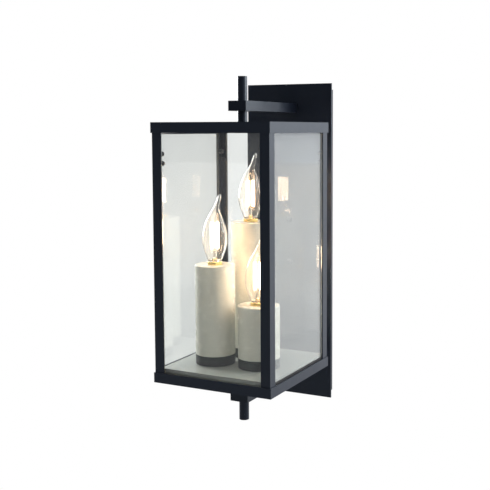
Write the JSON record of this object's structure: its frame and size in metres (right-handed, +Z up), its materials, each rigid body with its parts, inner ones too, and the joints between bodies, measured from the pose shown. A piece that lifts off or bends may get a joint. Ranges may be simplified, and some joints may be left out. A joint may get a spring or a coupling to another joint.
{
  "type": "outdoor wall lantern",
  "caption": "Square glazed lantern held between arms from a tall wall plate, with a hinged glazed door and bent-tip candle lamps on a raised floor tray.",
  "frame": {"origin": "on the wall, at the middle of the crossbar's and the gasket's back faces, behind the centre of the wall plate", "axes": "+X to the right as seen from the room, +Y into the wall, +Z up"},
  "size_m": [0.1677, 0.2261, 0.443],
  "materials": {
    "black_powder_coat": "satin black powder coat",
    "candle_cup_finish": "satin black paint",
    "tray_finish": "satin grey coat",
    "clear_pane_glass": "clear float glass",
    "lamp_envelope_glass": "clear blown glass",
    "candle_sleeve": "satin ivory plastic",
    "lamp_brass": "bright brass",
    "solder_tip": "dull solder",
    "lit_filament": "lit light sticks",
    "socket_plastic": "moulded phenolic",
    "socket_metal": "stamped sheet",
    "zinc_plated_steel": "zinc plated",
    "ground_screw_green": "green dyed zinc",
    "screw_finish": "black oxide",
    "closed_cell_foam": "matte foam",
    "magnet_nickel": "nickel plate",
    "lead_insulation": "soft insulation"
  },
  "bodies": {
    "lantern": {"arm_bolts": "zinc_plated_steel", "back_glass": "clear_pane_glass", "back_left_post": "black_powder_coat", "back_right_post": "black_powder_coat", "backing_frame": "black_powder_coat", "bottom_pan": "black_powder_coat", "candle_nipples": "zinc_plated_steel", "cap_nuts": "black_powder_coat", "catch_magnets": "magnet_nickel", "crossbar": "zinc_plated_steel", "floor_tray": "tray_finish", "front_glass": "clear_pane_glass", "front_left_post": "black_powder_coat", "front_right_post": "black_powder_coat", "glazing_tape": "closed_cell_foam", "ground_screw": "ground_screw_green", "hinge_fixed_halves": "black_powder_coat", "left_candle_cup": "candle_cup_finish", "left_sleeve": "candle_sleeve", "left_socket": "socket_plastic", "lock_nuts": "zinc_plated_steel", "lower_arm": "black_powder_coat", "lower_stem": "black_powder_coat", "pane_screws": "screw_finish", "plate_studs": "zinc_plated_steel", "rear_candle_cup": "candle_cup_finish", "rear_sleeve": "candle_sleeve", "rear_socket": "socket_plastic", "right_candle_cup": "candle_cup_finish", "right_glass": "clear_pane_glass", "right_sleeve": "candle_sleeve", "right_socket": "socket_plastic", "socket_contacts": "socket_metal", "stem_end_caps": "black_powder_coat", "stem_nipple": "zinc_plated_steel", "top_cap": "black_powder_coat", "upper_arm": "black_powder_coat", "upper_rod": "zinc_plated_steel", "upper_stem": "black_powder_coat", "wall_gasket": "closed_cell_foam", "wall_plate": "black_powder_coat", "wiring": "lead_insulation"},
    "door": {"door_leaf": "black_powder_coat", "door_glass": "clear_pane_glass", "door_tape": "closed_cell_foam", "door_pane_screws": "screw_finish", "hinge_door_halves": "black_powder_coat", "door_knob": "black_powder_coat"},
    "left_lamp_carrier": {"left_lamp_contact": "solder_tip"},
    "left_lamp": {"left_lamp_base": "lamp_brass", "left_lamp_glass": "lamp_envelope_glass", "left_filaments": "lit_filament"},
    "right_lamp_carrier": {"right_lamp_contact": "solder_tip"},
    "right_lamp": {"right_lamp_base": "lamp_brass", "right_lamp_glass": "lamp_envelope_glass", "right_filaments": "lit_filament"},
    "rear_lamp_carrier": {"rear_lamp_contact": "solder_tip"},
    "rear_lamp": {"rear_lamp_base": "lamp_brass", "rear_lamp_glass": "lamp_envelope_glass", "rear_filaments": "lit_filament"}
  },
  "joints": [
    {"name": "door_hinge", "type": "hinge", "parent": "lantern", "child": "door", "pos_m": [-0.083, -0.0625, 0], "axis": [0, 0, -1], "range_deg": [0, 110]},
    {"name": "left_lamp_lift", "type": "slide", "parent": "lantern", "child": "left_lamp_carrier", "axis": [0, 0, 1], "range_m": [0, 0.0153]},
    {"name": "left_lamp_twist", "type": "hinge", "parent": "left_lamp_carrier", "child": "left_lamp", "pos_m": [-0.0285, -0.165, 0], "axis": [0, 0, 1], "range_deg": [0, 2160]},
    {"name": "right_lamp_lift", "type": "slide", "parent": "lantern", "child": "right_lamp_carrier", "axis": [0, 0, 1], "range_m": [0, 0.0153]},
    {"name": "right_lamp_twist", "type": "hinge", "parent": "right_lamp_carrier", "child": "right_lamp", "pos_m": [0.031, -0.1605, 0], "axis": [0, 0, 1], "range_deg": [0, 2160]},
    {"name": "rear_lamp_lift", "type": "slide", "parent": "lantern", "child": "rear_lamp_carrier", "axis": [0, 0, 1], "range_m": [0, 0.0153]},
    {"name": "rear_lamp_twist", "type": "hinge", "parent": "rear_lamp_carrier", "child": "rear_lamp", "pos_m": [-0.006, -0.1115, 0], "axis": [0, 0, 1], "range_deg": [0, 2160]}
  ],
  "couplings": [
    {"joint": "left_lamp_lift", "follows": "left_lamp_twist", "m_per_rad": 0.00040425},
    {"joint": "right_lamp_lift", "follows": "right_lamp_twist", "m_per_rad": 0.00040425},
    {"joint": "rear_lamp_lift", "follows": "rear_lamp_twist", "m_per_rad": 0.00040425}
  ]
}
